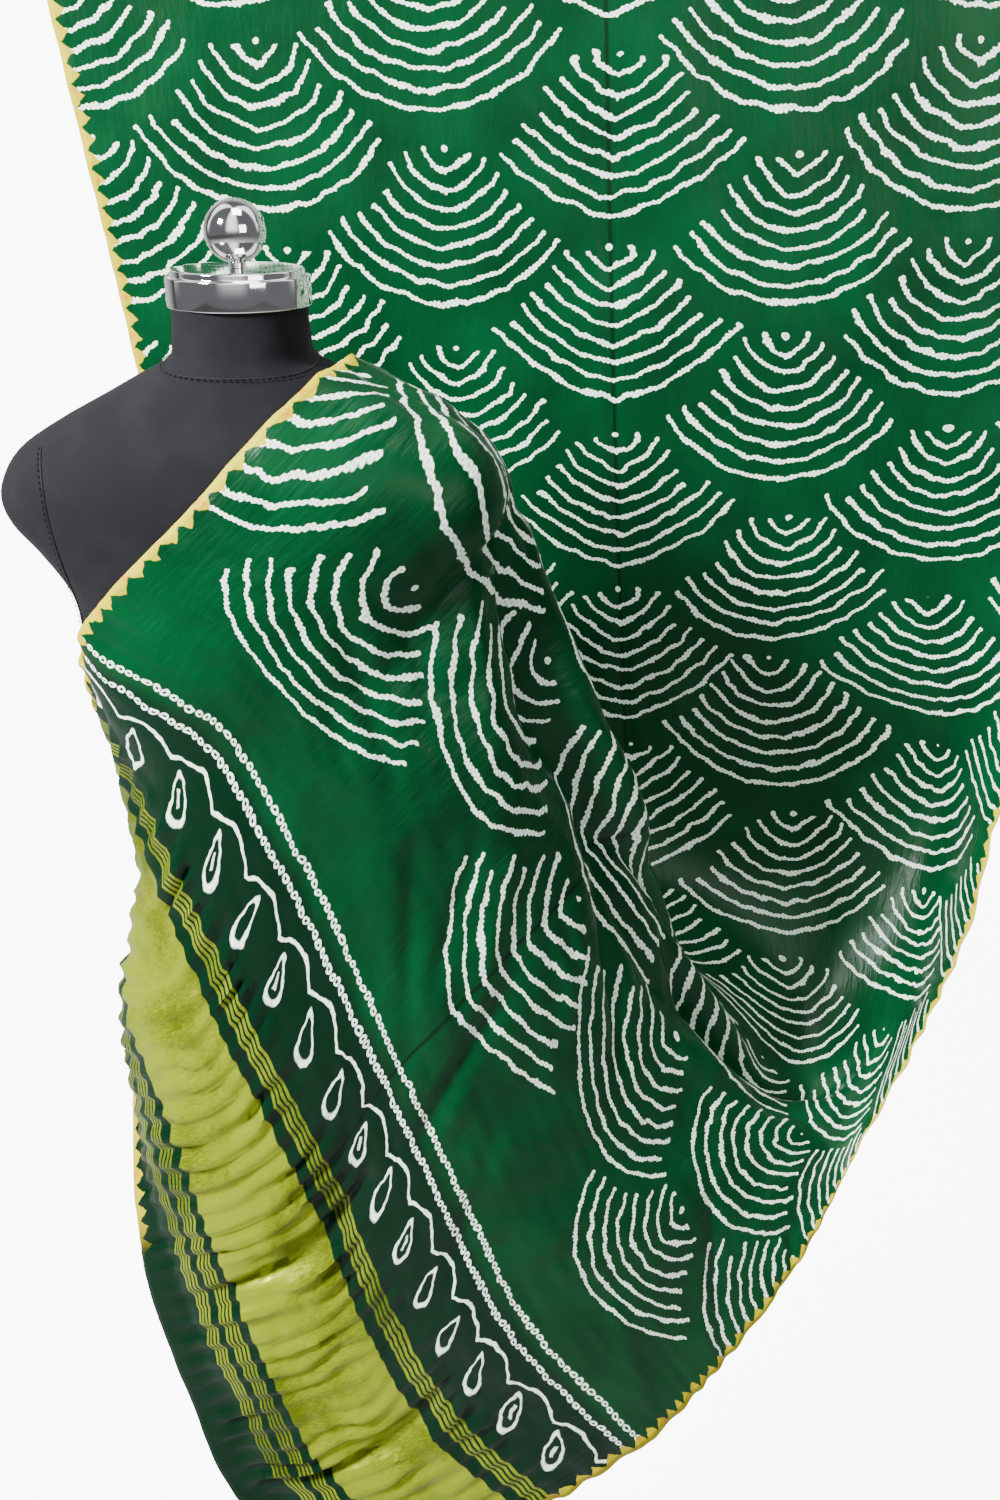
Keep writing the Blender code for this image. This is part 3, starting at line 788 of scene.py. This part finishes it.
fan = bpy.data.node_groups.new("tied_fan", "ShaderNodeTree")
for socket_name in ("Across", "Down", "Side"):
    fan.interface.new_socket(socket_name, in_out="INPUT", socket_type="NodeSocketFloat")
fan.interface.new_socket("Mask", in_out="OUTPUT", socket_type="NodeSocketFloat")
fan_in = fan.nodes.new("NodeGroupInput")
fan_out = fan.nodes.new("NodeGroupOutput")
fan_across = fan_in.outputs["Across"]
fan_down = fan_in.outputs["Down"]

hand_wobble = noise(fan, bundle(fan, fan_across, fan_down), 46.0, 2.5)
hand_split = fan.nodes.new("ShaderNodeSeparateColor")
fan.links.new(hand_wobble["Color"], hand_split.inputs[0])

columns = calc(fan, "DIVIDE", fan_across, COLUMN_PITCH)
nearest_column = calc(fan, "ROUND", columns)
lean = calc(fan, "SUBTRACT", columns, nearest_column)
lean_side = calc(fan, "SUBTRACT", calc(fan, "MULTIPLY", calc(fan, "GREATER_THAN", lean, 0.0), 2.0), 1.0)
column = calc(fan, "ADD", nearest_column, calc(fan, "MULTIPLY", lean_side, fan_in.outputs["Side"]))
fan_aside = calc(fan, "MULTIPLY", calc(fan, "SUBTRACT", columns, column), COLUMN_PITCH)
odd = calc(fan, "FLOORED_MODULO", column, 2.0)
foot_shift = calc(fan, "MULTIPLY_ADD", odd, ROW_PITCH / 2, FIRST_FOOT)
below_first = calc(fan, "SUBTRACT", fan_down, foot_shift)
row = calc(fan, "CEIL", calc(fan, "DIVIDE", calc(fan, "SUBTRACT", below_first, FOOT_ROOM), ROW_PITCH))
foot = calc(fan, "MULTIPLY_ADD", row, ROW_PITCH, foot_shift)
above_foot = calc(fan, "SUBTRACT", foot, fan_down)

fan_luck = fan.nodes.new("ShaderNodeTexWhiteNoise")
fan_luck.noise_dimensions = "2D"
fan.links.new(bundle(fan, column, row), fan_luck.inputs["Vector"])
luck = fan.nodes.new("ShaderNodeSeparateColor")
fan.links.new(fan_luck.outputs["Color"], luck.inputs[0])
tall = calc(fan, "MULTIPLY_ADD", luck.outputs[0], 0.16, 0.92)
skew = calc(fan, "MULTIPLY_ADD", luck.outputs[1], 0.22, -0.11)
rise = calc(fan, "MULTIPLY", above_foot, tall)
fall = calc(fan, "SUBTRACT", FAN_REACH, rise)
aside = calc(fan, "MULTIPLY_ADD", rise, skew, fan_aside)

round_reach = root_sum(fan, fall, aside)
sharp_reach = calc(fan, "MULTIPLY_ADD", calc(fan, "ABSOLUTE", aside), 0.56, calc(fan, "MULTIPLY", fall, 0.86))
on_fold = calc(fan, "COMPARE", column, 3.0, 0.1)
near_dot = fade(fan, round_reach, 0.075, 0.015)
sharpness = calc(fan, "MULTIPLY_ADD", luck.outputs[2], 0.10, calc(fan, "MULTIPLY", near_dot, 0.45))
sharpness = calc(fan, "MULTIPLY_ADD", on_fold, 0.36, sharpness)
reach = calc(fan, "ADD",
             calc(fan, "MULTIPLY", round_reach, calc(fan, "SUBTRACT", 1.0, sharpness)),
             calc(fan, "MULTIPLY", sharp_reach, sharpness))
reach = calc(fan, "MAXIMUM", reach, calc(fan, "MULTIPLY", round_reach, 0.80))
reach = calc(fan, "ADD", reach, calc(fan, "MULTIPLY_ADD", hand_split.outputs[0], 0.0150, -0.0075))
arc = calc(fan, "ROUND", calc(fan, "DIVIDE", reach, ARC_STEP))
arc_radius = calc(fan, "MULTIPLY", arc, ARC_STEP)
off_arc = calc(fan, "SUBTRACT", reach, arc_radius)
turn = calc(fan, "ARCTAN2", aside, fall)
along_arc = calc(fan, "MULTIPLY", turn, calc(fan, "MAXIMUM", arc_radius, 0.0001))
bead_number = calc(fan, "ROUND", calc(fan, "DIVIDE", along_arc, BEAD_PITCH))
bead_along = calc(fan, "MULTIPLY", bead_number, BEAD_PITCH)
off_bead = calc(fan, "SUBTRACT", along_arc, bead_along)
bead_turn = calc(fan, "ABSOLUTE", calc(fan, "DIVIDE", bead_along, calc(fan, "MAXIMUM", arc_radius, 0.0001)))
opening = calc(fan, "POWER", calc(fan, "MULTIPLY", calc(fan, "SUBTRACT", arc, 1.0), 0.5), 3.0)
opening = calc(fan, "DIVIDE", 0.62, calc(fan, "ADD", calc(fan, "MAXIMUM", opening, 0.0), 1.0))
arc_side = calc(fan, "MULTIPLY_ADD", arc, 2.0, calc(fan, "GREATER_THAN", aside, 0.0))
arc_luck = fan.nodes.new("ShaderNodeTexWhiteNoise")
fan.links.new(bundle(fan, column, row, arc_side), arc_luck.inputs["Vector"])
widest = calc(fan, "ADD", opening, calc(fan, "MULTIPLY_ADD", arc_luck.outputs["Value"], 0.18, 0.88))
within = calc(fan, "MULTIPLY",
              calc(fan, "LESS_THAN", bead_turn, widest),
              calc(fan, "MULTIPLY", calc(fan, "LESS_THAN", arc, 8.5), calc(fan, "LESS_THAN", foot, LAST_FOOT)))
from_bead = root_sum(fan, off_arc, off_bead)
bead = calc(fan, "MULTIPLY",
            fade(fan, from_bead, BEAD_RADIUS + 0.0004, BEAD_RADIUS - 0.0004),
            fade(fan, from_bead, HOLE_RADIUS - 0.0004, HOLE_RADIUS + 0.0006))
cord_line = calc(fan, "MULTIPLY", fade(fan, calc(fan, "ABSOLUTE", off_arc), 0.0024, 0.0014), 0.60)
fan_mark = calc(fan, "MULTIPLY", calc(fan, "MAXIMUM", bead, cord_line), within)
fan.links.new(fan_mark, fan_out.inputs["Mask"])

# The border marks that are tied too: two rows of rings, and a leaf vine between them and the end.
RING_ROWS = (0.335, 0.358)
RING_PITCH = 0.0090
RING_RADIUS = 0.0036
RING_HOLE = 0.0013
VINE_PITCH = 0.067
VINE_STEM = 0.304
VINE_SCALLOP = 0.013
LEAF_DROP = 0.282
LEAF_LONG = 0.0195
LEAF_SHORT = 0.0098
LEAF_TILT = 0.42
LEAF_TILT_PLAY = 0.55
TIED_LINE = 0.0014

border = bpy.data.node_groups.new("tied_border", "ShaderNodeTree")
for socket_name in ("Across", "From end"):
    border.interface.new_socket(socket_name, in_out="INPUT", socket_type="NodeSocketFloat")
border.interface.new_socket("Mask", in_out="OUTPUT", socket_type="NodeSocketFloat")
border_in = border.nodes.new("NodeGroupInput")
border_out = border.nodes.new("NodeGroupOutput")
border_place = bundle(border, border_in.outputs["Across"], border_in.outputs["From end"])
border_wobble = noise(border, border_place, 48.0, 2.0)
border_split = border.nodes.new("ShaderNodeSeparateColor")
border.links.new(border_wobble["Color"], border_split.inputs[0])
mark_across = calc(border, "ADD", border_in.outputs["Across"],
                   calc(border, "MULTIPLY_ADD", border_split.outputs[0], 0.013, -0.0065))
mark_end = calc(border, "ADD", border_in.outputs["From end"],
                calc(border, "MULTIPLY_ADD", border_split.outputs[1], 0.011, -0.0055))

border_marks = None
for ring_row in RING_ROWS:
    ring_count = calc(border, "ROUND", calc(border, "DIVIDE", mark_across, RING_PITCH))
    off_ring = calc(border, "SUBTRACT", mark_across, calc(border, "MULTIPLY", ring_count, RING_PITCH))
    from_ring = root_sum(border, calc(border, "MULTIPLY", off_ring, 0.9),
                         calc(border, "SUBTRACT", mark_end, ring_row))
    ring = calc(border, "MULTIPLY",
                fade(border, from_ring, RING_RADIUS + 0.0004, RING_RADIUS - 0.0004),
                fade(border, from_ring, RING_HOLE - 0.0003, RING_HOLE + 0.0006))
    border_marks = ring if border_marks is None else calc(border, "MAXIMUM", border_marks, ring)
vine_turns = calc(border, "DIVIDE", mark_across, VINE_PITCH)
vine_share = calc(border, "FRACT", vine_turns)
leaf_luck = border.nodes.new("ShaderNodeTexWhiteNoise")
leaf_luck.noise_dimensions = "1D"
border.links.new(calc(border, "FLOOR", vine_turns), leaf_luck.inputs["W"])
leaf_play = border.nodes.new("ShaderNodeSeparateColor")
border.links.new(leaf_luck.outputs["Color"], leaf_play.inputs[0])
scallop = calc(border, "ABSOLUTE", calc(border, "SINE", calc(border, "MULTIPLY", vine_share, math.pi)))
stem_line = calc(border, "MULTIPLY_ADD", scallop, VINE_SCALLOP, VINE_STEM)
off_stem = calc(border, "ABSOLUTE", calc(border, "SUBTRACT", mark_end, stem_line))
stem = fade(border, off_stem, TIED_LINE + 0.0010, TIED_LINE - 0.0002)
leaf_tilt = calc(border, "MULTIPLY_ADD", leaf_play.outputs[0], LEAF_TILT_PLAY, LEAF_TILT - LEAF_TILT_PLAY / 2)
leaf_size_play = calc(border, "MULTIPLY_ADD", leaf_play.outputs[1], 0.30, 0.84)
leaf_across = calc(border, "MULTIPLY", calc(border, "SUBTRACT", vine_share, 0.40), VINE_PITCH)
leaf_end = calc(border, "SUBTRACT", mark_end, LEAF_DROP)
tilt_cosine = calc(border, "COSINE", leaf_tilt)
tilt_sine = calc(border, "SINE", leaf_tilt)
leaf_long = calc(border, "SUBTRACT", calc(border, "MULTIPLY", leaf_end, tilt_cosine),
                 calc(border, "MULTIPLY", leaf_across, tilt_sine))
leaf_wide = calc(border, "ADD", calc(border, "MULTIPLY", leaf_end, tilt_sine),
                 calc(border, "MULTIPLY", leaf_across, tilt_cosine))
leaf_reach = calc(border, "DIVIDE", leaf_long, calc(border, "MULTIPLY", leaf_size_play, LEAF_LONG))
pointed = calc(border, "MULTIPLY_ADD", leaf_reach, -0.38, 0.92)
leaf_size = root_sum(border, leaf_reach,
                     calc(border, "DIVIDE", leaf_wide, calc(border, "MULTIPLY", pointed, LEAF_SHORT)))
off_leaf = calc(border, "ABSOLUTE", calc(border, "MULTIPLY", calc(border, "SUBTRACT", leaf_size, 1.0), 0.0115))
leaf = fade(border, off_leaf, TIED_LINE + 0.0012, TIED_LINE - 0.0004)
vein = calc(border, "MULTIPLY",
            fade(border, calc(border, "ABSOLUTE", leaf_wide), 0.0024, 0.0012),
            fade(border, calc(border, "ABSOLUTE", leaf_long), 0.0075, 0.0060))
vein = calc(border, "MULTIPLY", vein, calc(border, "GREATER_THAN", leaf_play.outputs[2], 0.55))
vine = calc(border, "MAXIMUM", calc(border, "MAXIMUM", stem, leaf), calc(border, "MULTIPLY", vein, 0.8))
vine_knots = border.nodes.new("ShaderNodeTexVoronoi")
vine_knots.inputs["Scale"].default_value = 230.0
border.links.new(border_place, vine_knots.inputs["Vector"])
vine = calc(border, "MULTIPLY", vine, fade(border, vine_knots.outputs["Distance"], 0.04, 0.24))
border_marks = calc(border, "MAXIMUM", border_marks, vine)
border.links.new(border_marks, border_out.inputs["Mask"])

# The woven end: gold bands and stripes at their distances from the end edge.
Stripe = namedtuple("Stripe", "from_end to_end lines")
GOLD_BAND = (0.096, 0.206)
STRIPES = (
    Stripe(0.048, 0.064, 4),
    Stripe(0.071, 0.087, 4),
    Stripe(0.220, 0.242, 4),
)
TOOTH_PITCH = 0.0195
TOOTH_DEPTH = 0.0150
TOOTH_ROOT = 0.0035
DARK_END = 0.345
SILK_GREEN = (0.0, 0.031, 0.0082, 1.0)
SILK_PALE = (0.0, 0.043, 0.0120, 1.0)
SILK_DARK = (0.0, 0.022, 0.0062, 1.0)
END_GREEN = (0.0, 0.0125, 0.0040, 1.0)
TIED_WHITE = (0.84, 0.98, 0.84, 1.0)
TOOTH_YELLOW = (0.44, 0.37, 0.0, 1.0)
TOOTH_ORANGE = (0.46, 0.24, 0.0, 1.0)
GOLD_PALE = (0.23, 0.285, 0.010, 1.0)
GOLD_DEEP = (0.085, 0.115, 0.002, 1.0)

silk = bpy.data.materials.new("bandhani_silk")
silk.use_nodes = True
silk_tree = silk.node_tree
silk_shader = silk_tree.nodes["Principled BSDF"]
silk_flat = silk_tree.nodes.new("ShaderNodeUVMap")
silk_flat.uv_map = "flat_cloth"
silk_split = silk_tree.nodes.new("ShaderNodeSeparateXYZ")
silk_tree.links.new(silk_flat.outputs["UV"], silk_split.inputs[0])
silk_across = silk_split.outputs["X"]
silk_down = silk_split.outputs["Y"]
from_end = calc(silk_tree, "SUBTRACT", CLOTH_LENGTH, silk_down)

fan_masks = []
for side in (0.0, 1.0):
    fans = silk_tree.nodes.new("ShaderNodeGroup")
    fans.node_tree = fan
    silk_tree.links.new(silk_across, fans.inputs["Across"])
    silk_tree.links.new(silk_down, fans.inputs["Down"])
    fans.inputs["Side"].default_value = side
    fan_masks.append(fans.outputs["Mask"])
border_use = silk_tree.nodes.new("ShaderNodeGroup")
border_use.node_tree = border
silk_tree.links.new(silk_across, border_use.inputs["Across"])
silk_tree.links.new(from_end, border_use.inputs["From end"])
tied = calc(silk_tree, "MAXIMUM", calc(silk_tree, "MAXIMUM", *fan_masks), border_use.outputs["Mask"])

dye = noise(silk_tree, silk_flat.outputs["UV"], 9.0, 4.0)
thread_place = silk_tree.nodes.new("ShaderNodeMapping")
thread_place.inputs["Scale"].default_value = (700.0, 150.0, 1.0)
silk_tree.links.new(silk_flat.outputs["UV"], thread_place.inputs["Vector"])
thread = noise(silk_tree, thread_place.outputs[0], 1.0, 3.0)

ground = blend_colour(silk_tree, fade(silk_tree, dye["Fac"], 0.42, 0.70), SILK_GREEN, SILK_PALE)
ground = blend_colour(silk_tree, fade(silk_tree, dye["Fac"], 0.46, 0.26), ground, SILK_DARK)
end_mask = fade(silk_tree, from_end, DARK_END + 0.012, DARK_END - 0.012)
ground = blend_colour(silk_tree, end_mask, ground, END_GREEN)
# A thin dark line is painted down the middle press crease: painted shade where the crease folds in, laid over the
# dyed green.
press_line = calc(silk_tree, "ABSOLUTE", calc(silk_tree, "SUBTRACT", silk_across, CLOTH_WIDTH / 2))
press_crease_painted_shade = calc(silk_tree, "MULTIPLY", fade(silk_tree, press_line, 0.0035, 0.0005), 0.75)
ground = blend_colour(silk_tree, press_crease_painted_shade, ground, (0.0, 0.006, 0.002, 1.0))

end_wobble = noise(silk_tree, silk_flat.outputs["UV"], 30.0)
end_drift = calc(silk_tree, "MULTIPLY_ADD", end_wobble["Fac"], 0.006, -0.003)
woven_end = calc(silk_tree, "ADD", from_end, end_drift)
gold = calc(silk_tree, "MULTIPLY",
            fade(silk_tree, woven_end, GOLD_BAND[0] - 0.0008, GOLD_BAND[0] + 0.0008),
            fade(silk_tree, woven_end, GOLD_BAND[1] + 0.0008, GOLD_BAND[1] - 0.0008))
for stripe in STRIPES:
    share = calc(silk_tree, "DIVIDE", calc(silk_tree, "SUBTRACT", woven_end, stripe.from_end),
                 stripe.to_end - stripe.from_end)
    inside = calc(silk_tree, "MULTIPLY", calc(silk_tree, "GREATER_THAN", share, 0.0),
                  calc(silk_tree, "LESS_THAN", share, 1.0))
    line = calc(silk_tree, "ABSOLUTE", calc(silk_tree, "SUBTRACT", calc(silk_tree, "FRACT",
                calc(silk_tree, "MULTIPLY", share, stripe.lines)), 0.5))
    line = calc(silk_tree, "MULTIPLY", fade(silk_tree, line, 0.34, 0.22), inside)
    gold = calc(silk_tree, "MAXIMUM", gold, calc(silk_tree, "MULTIPLY", line, 0.85))
gold_dye = calc(silk_tree, "MULTIPLY", dye["Fac"], 0.75)
gold_play = calc(silk_tree, "MULTIPLY_ADD", thread["Fac"], 0.25, gold_dye)
gold_colour = blend_colour(silk_tree, fade(silk_tree, gold_play, 0.36, 0.56), GOLD_DEEP, GOLD_PALE)
surface = blend_colour(silk_tree, gold, ground, gold_colour)
surface = blend_colour(silk_tree, tied, surface, TIED_WHITE)

tooth_noise = noise(silk_tree, silk_flat.outputs["UV"], 70.0)
tooth_drift = calc(silk_tree, "MULTIPLY_ADD", tooth_noise["Fac"], 0.012, -0.006)


def teeth(edge_distance, along):
    """A mask of dyed teeth that point in from one edge."""
    turns = calc(silk_tree, "DIVIDE", calc(silk_tree, "ADD", along, tooth_drift), TOOTH_PITCH)
    point = calc(silk_tree, "MULTIPLY", calc(silk_tree, "ABSOLUTE",
                 calc(silk_tree, "SUBTRACT", calc(silk_tree, "FRACT", turns), 0.5)), 2.0)
    limit = calc(silk_tree, "MULTIPLY_ADD", point, TOOTH_DEPTH - TOOTH_ROOT, TOOTH_ROOT)
    gap = calc(silk_tree, "SUBTRACT", limit, edge_distance)
    return fade(silk_tree, gap, -0.0006, 0.0006)


right_gap = calc(silk_tree, "SUBTRACT", CLOTH_WIDTH, silk_across)
toothed = calc(silk_tree, "MAXIMUM", teeth(silk_across, silk_down), teeth(right_gap, silk_down))
end_hem = calc(silk_tree, "MULTIPLY",
               fade(silk_tree, silk_across, 0.26, 0.30), fade(silk_tree, silk_across, 0.56, 0.50))
end_teeth = calc(silk_tree, "MULTIPLY", teeth(from_end, silk_across), end_hem)
toothed = calc(silk_tree, "MAXIMUM", toothed, end_teeth)
tooth_orange = fade(silk_tree, tooth_noise["Fac"], 0.56, 0.70)
tooth_colour = blend_colour(silk_tree, tooth_orange, TOOTH_YELLOW, TOOTH_ORANGE)
surface = blend_colour(silk_tree, toothed, surface, tooth_colour)
silk_tree.links.new(surface, silk_shader.inputs["Base Color"])

silk_tree.links.new(calc(silk_tree, "MULTIPLY", gold, 0.45), silk_shader.inputs["Metallic"])
sheen_noise = calc(silk_tree, "MULTIPLY_ADD", thread["Fac"], 0.14, 0.26)
matte = calc(silk_tree, "MULTIPLY", calc(silk_tree, "MAXIMUM", tied, toothed), 0.22)
silk_tree.links.new(calc(silk_tree, "ADD", sheen_noise, matte), silk_shader.inputs["Roughness"])
silk_shader.inputs["Specular IOR Level"].default_value = 0.11
silk_shader.inputs["Sheen Weight"].default_value = 0.015
silk_shader.inputs["Sheen Roughness"].default_value = 0.35
silk_shader.inputs["Sheen Tint"].default_value = (0.55, 0.95, 0.65, 1.0)

crinkle_place = silk_tree.nodes.new("ShaderNodeMapping")
crinkle_place.inputs["Scale"].default_value = (150.0, 34.0, 1.0)
silk_tree.links.new(silk_flat.outputs["UV"], crinkle_place.inputs["Vector"])
crinkle = noise(silk_tree, crinkle_place.outputs[0], 1.0, 4.0)
relief_height = calc(silk_tree, "ADD", calc(silk_tree, "MULTIPLY", crinkle["Fac"], 1.6),
                     calc(silk_tree, "MULTIPLY", thread["Fac"], 0.25))
silk_bump = silk_tree.nodes.new("ShaderNodeBump")
silk_bump.inputs["Strength"].default_value = 0.6
silk_bump.inputs["Distance"].default_value = 0.001
silk_tree.links.new(relief_height, silk_bump.inputs["Height"])
silk_tree.links.new(silk_bump.outputs["Normal"], silk_shader.inputs["Normal"])

silk_cloth = place_piece("silk_cloth", silk_mesh, silk, math.radians(80))
silk_wall = silk_cloth.modifiers.new("Cloth wall", "SOLIDIFY")
silk_wall.thickness = CLOTH_THICKNESS
silk_wall.offset = 0.0
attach(silk_cloth, "root")
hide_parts("bandhani_cloth")
